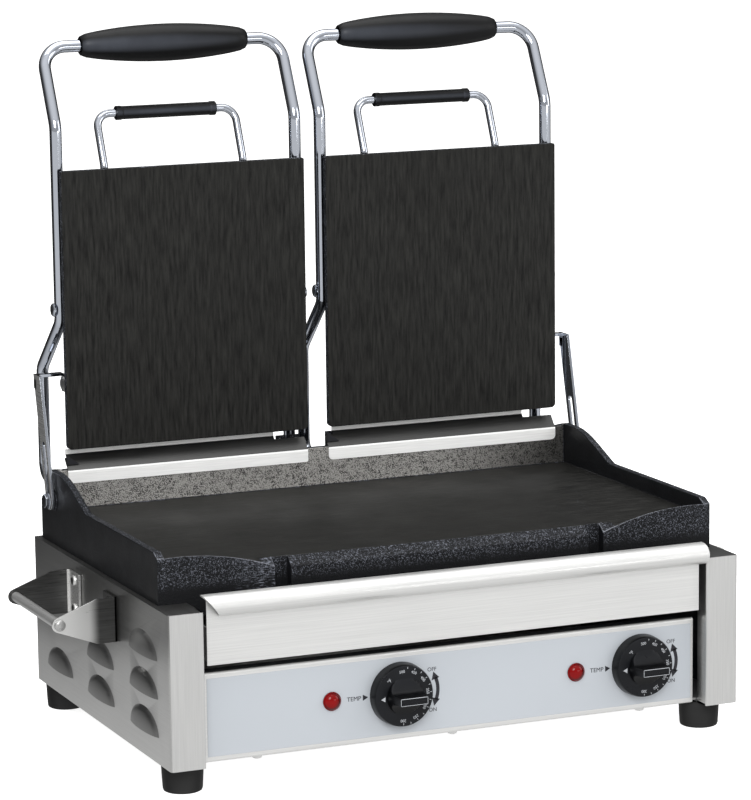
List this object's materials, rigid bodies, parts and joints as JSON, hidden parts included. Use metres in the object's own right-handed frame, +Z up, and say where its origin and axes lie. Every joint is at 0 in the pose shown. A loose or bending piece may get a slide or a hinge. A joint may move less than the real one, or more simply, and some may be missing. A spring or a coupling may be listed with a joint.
{
  "type": "contact grill",
  "caption": "Countertop contact grill: a cast lower plate over a steel body with dials, lamps and a grease drawer, and hinged upper plates on chrome arms",
  "frame": {"origin": "middle of the footprint, on the surface that the feet stand on", "axes": "+X to the right as seen from the controls, +Y to the back, +Z up"},
  "size_m": [0.5926, 0.366, 0.5625],
  "materials": {
    "stainless": "brushed",
    "dark_steel": "satin",
    "chrome": "polished",
    "cast_iron": "machined, seasoned",
    "grey_paint": "satin",
    "black_plastic": "satin",
    "black_rubber": "matt",
    "red_lens": "gloss"
  },
  "bodies": {
    "base": {"left_side_panel": "stainless", "right_side_panel": "stainless", "rear_panel": "stainless", "bottom_plate": "stainless", "cord_gland": "black_rubber", "left_front_foot": "black_rubber", "left_rear_foot": "black_rubber", "right_front_foot": "black_rubber", "right_rear_foot": "black_rubber", "control_panel": "grey_paint", "left_thermostat": "dark_steel", "right_thermostat": "dark_steel", "left_pilot_lamp": "red_lens", "right_pilot_lamp": "red_lens", "left_drawer_runner": "stainless", "right_drawer_runner": "stainless", "lower_plate": "cast_iron", "left_lower_element": "dark_steel", "right_lower_element": "dark_steel", "left_hinge_bracket": "cast_iron", "right_hinge_bracket": "cast_iron", "left_outer_hinge_bolt": "chrome", "right_outer_hinge_bolt": "chrome", "left_inner_hinge_bolt": "chrome", "right_inner_hinge_bolt": "chrome", "left_splash_guard": "stainless", "right_splash_guard": "stainless", "left_front_carry_bracket": "stainless", "right_front_carry_bracket": "stainless", "left_rear_carry_bracket": "stainless", "right_rear_carry_bracket": "stainless", "left_carry_rod": "chrome", "right_carry_rod": "chrome"},
    "drawer": {"grease_drawer": "stainless"},
    "left_dial": {"left_knob": "black_plastic", "left_dial_shaft": "dark_steel"},
    "right_dial": {"right_knob": "black_plastic", "right_dial_shaft": "dark_steel"},
    "left_lid": {"left_arm": "chrome", "left_grip": "black_plastic", "left_upper_plate": "cast_iron", "left_plate_cover": "stainless", "left_upper_element": "dark_steel", "left_outer_pivot_screw": "chrome", "left_inner_pivot_screw": "chrome", "left_rod_handle": "chrome", "left_rod_grip": "black_plastic"},
    "right_lid": {"right_arm": "chrome", "right_grip": "black_plastic", "right_upper_plate": "cast_iron", "right_plate_cover": "stainless", "right_upper_element": "dark_steel", "right_outer_pivot_screw": "chrome", "right_inner_pivot_screw": "chrome", "right_rod_handle": "chrome", "right_rod_grip": "black_plastic"},
    "left_stay": {"left_stay_link": "chrome"},
    "right_stay": {"right_stay_link": "chrome"},
    "left_stay_slider": {"left_stay_bolt": "chrome"},
    "right_stay_slider": {"right_stay_bolt": "chrome"}
  },
  "joints": [
    {"name": "left_lid_hinge", "type": "hinge", "parent": "base", "child": "left_lid", "pos_m": [-0.116, 0.14, 0.1913], "axis": [1, 0, 0], "range_deg": [0, 90]},
    {"name": "right_lid_hinge", "type": "hinge", "parent": "base", "child": "right_lid", "pos_m": [0.116, 0.14, 0.1913], "axis": [1, 0, 0], "range_deg": [0, 90]},
    {"name": "left_stay_pivot", "type": "hinge", "parent": "left_lid", "child": "left_stay", "pos_m": [-0.2165, 0.138, 0.273], "axis": [1, 0, 0], "range_deg": [0, 5.6]},
    {"name": "right_stay_pivot", "type": "hinge", "parent": "right_lid", "child": "right_stay", "pos_m": [0.2165, 0.138, 0.273], "axis": [1, 0, 0], "range_deg": [0, 5.6]},
    {"name": "left_stay_slot", "type": "slide", "parent": "left_stay", "child": "left_stay_slider", "axis": [0, 0.2376, 0.9714], "range_m": [0, 0.0375]},
    {"name": "right_stay_slot", "type": "slide", "parent": "right_stay", "child": "right_stay_slider", "axis": [0, 0.2376, 0.9714], "range_m": [0, 0.0375]},
    {"name": "drawer_slide", "type": "slide", "parent": "base", "child": "drawer", "axis": [0, -1, 0], "range_m": [0, 0.22]},
    {"name": "left_dial_turn", "type": "hinge", "parent": "base", "child": "left_dial", "pos_m": [-0.048, -0.155, 0.0595], "axis": [0, 1, 0], "range_deg": [0, 290]},
    {"name": "right_dial_turn", "type": "hinge", "parent": "base", "child": "right_dial", "pos_m": [0.162, -0.155, 0.0595], "axis": [0, 1, 0], "range_deg": [0, 290]}
  ],
  "couplings": [
    {"joint": "left_stay_pivot", "follows": "left_lid_hinge", "ratio": 0.060966},
    {"joint": "right_stay_pivot", "follows": "right_lid_hinge", "ratio": 0.060966},
    {"joint": "left_stay_slot", "follows": "left_lid_hinge", "m_per_rad": 0.0235},
    {"joint": "right_stay_slot", "follows": "right_lid_hinge", "m_per_rad": 0.0235}
  ]
}
